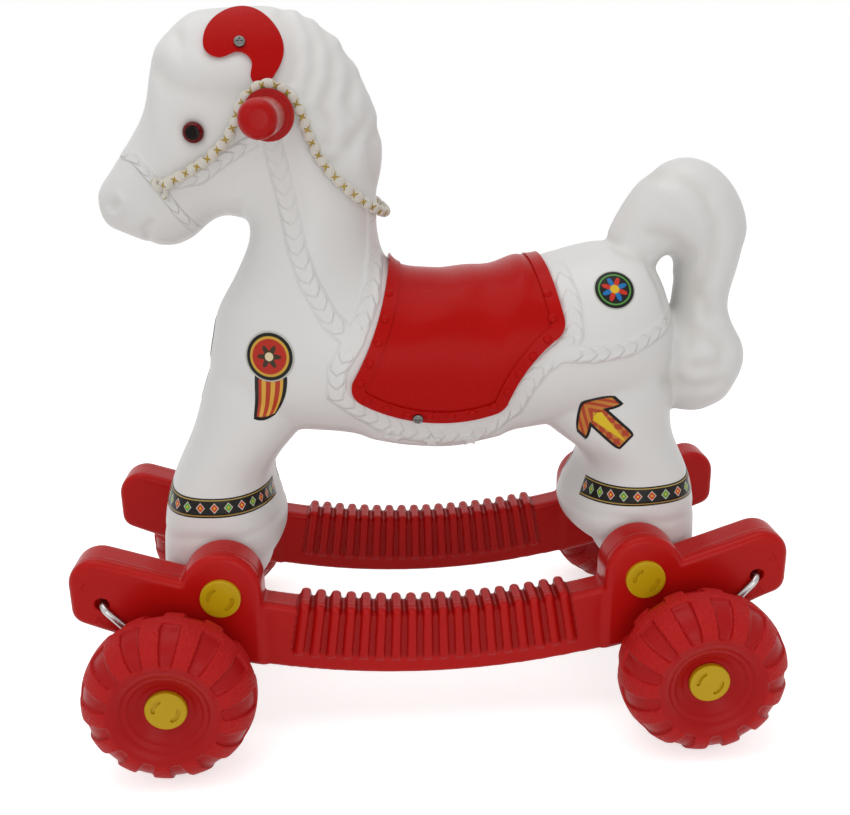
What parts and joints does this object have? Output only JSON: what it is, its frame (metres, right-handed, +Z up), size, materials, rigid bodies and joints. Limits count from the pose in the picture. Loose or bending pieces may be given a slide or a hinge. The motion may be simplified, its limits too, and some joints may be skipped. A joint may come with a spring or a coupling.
{
  "type": "rocking horse",
  "caption": "Moulded rocking horse on ribbed rockers with wheels on swing-down cranks, a saddle shell, side grips and a rope rein, for a small child to ride.",
  "frame": {"origin": "on the floor, midway between the wheels' outer ends in length and in width", "axes": "+Z up, the nose points to -X, the horse's left side is -Y"},
  "size_m": [0.612, 0.3758, 0.608],
  "materials": {
    "body_white": "satin",
    "rocker_red": "gloss",
    "saddle_red": "gloss",
    "wheel_red": "fine grain",
    "cap_yellow": "gloss",
    "eye_dark": "gloss",
    "steel": "bright zinc",
    "rope": "braided"
  },
  "bodies": {
    "horse": {"horse_body": "body_white", "left_rocker": "rocker_red", "right_rocker": "rocker_red", "saddle": "saddle_red", "left_ear": "saddle_red", "right_ear": "saddle_red", "left_eye": "eye_dark", "right_eye": "eye_dark", "saddle_screws": "steel", "ear_screws": "steel", "handle_rod": "steel", "front_foot_rod": "steel", "rear_foot_rod": "steel", "left_grip": "rocker_red", "right_grip": "rocker_red", "front_left_boss_cap": "cap_yellow", "front_right_boss_cap": "cap_yellow", "rear_left_boss_cap": "cap_yellow", "rear_right_boss_cap": "cap_yellow", "rein": "rope", "left_rein_knot": "rope", "right_rein_knot": "rope"},
    "front_left_arm": {"front_left_crank": "steel", "front_left_wheel_cap": "cap_yellow"},
    "front_left_roller": {"front_left_wheel": "wheel_red"},
    "front_right_arm": {"front_right_crank": "steel", "front_right_wheel_cap": "cap_yellow"},
    "front_right_roller": {"front_right_wheel": "wheel_red"},
    "rear_left_arm": {"rear_left_crank": "steel", "rear_left_wheel_cap": "cap_yellow"},
    "rear_left_roller": {"rear_left_wheel": "wheel_red"},
    "rear_right_arm": {"rear_right_crank": "steel", "rear_right_wheel_cap": "cap_yellow"},
    "rear_right_roller": {"rear_right_wheel": "wheel_red"}
  },
  "joints": [
    {"name": "front_left_swing", "type": "hinge", "parent": "horse", "child": "front_left_arm", "pos_m": [-0.2795, -0.1201, 0.1355], "axis": [0, 1, 0], "range_deg": [0, 180]},
    {"name": "front_left_spin", "type": "hinge", "parent": "front_left_arm", "child": "front_left_roller", "pos_m": [-0.222, -0.1557, 0.071], "axis": [0, 1, 0], "continuous": true},
    {"name": "front_right_swing", "type": "hinge", "parent": "horse", "child": "front_right_arm", "pos_m": [-0.2795, 0.1201, 0.1355], "axis": [0, 1, 0], "range_deg": [0, 180]},
    {"name": "front_right_spin", "type": "hinge", "parent": "front_right_arm", "child": "front_right_roller", "pos_m": [-0.222, 0.1557, 0.071], "axis": [0, 1, 0], "continuous": true},
    {"name": "rear_left_swing", "type": "hinge", "parent": "horse", "child": "rear_left_arm", "pos_m": [0.2795, -0.1201, 0.1355], "axis": [0, -1, 0], "range_deg": [0, 180]},
    {"name": "rear_left_spin", "type": "hinge", "parent": "rear_left_arm", "child": "rear_left_roller", "pos_m": [0.222, -0.1557, 0.071], "axis": [0, 1, 0], "continuous": true},
    {"name": "rear_right_swing", "type": "hinge", "parent": "horse", "child": "rear_right_arm", "pos_m": [0.2795, 0.1201, 0.1355], "axis": [0, -1, 0], "range_deg": [0, 180]},
    {"name": "rear_right_spin", "type": "hinge", "parent": "rear_right_arm", "child": "rear_right_roller", "pos_m": [0.222, 0.1557, 0.071], "axis": [0, 1, 0], "continuous": true}
  ]
}
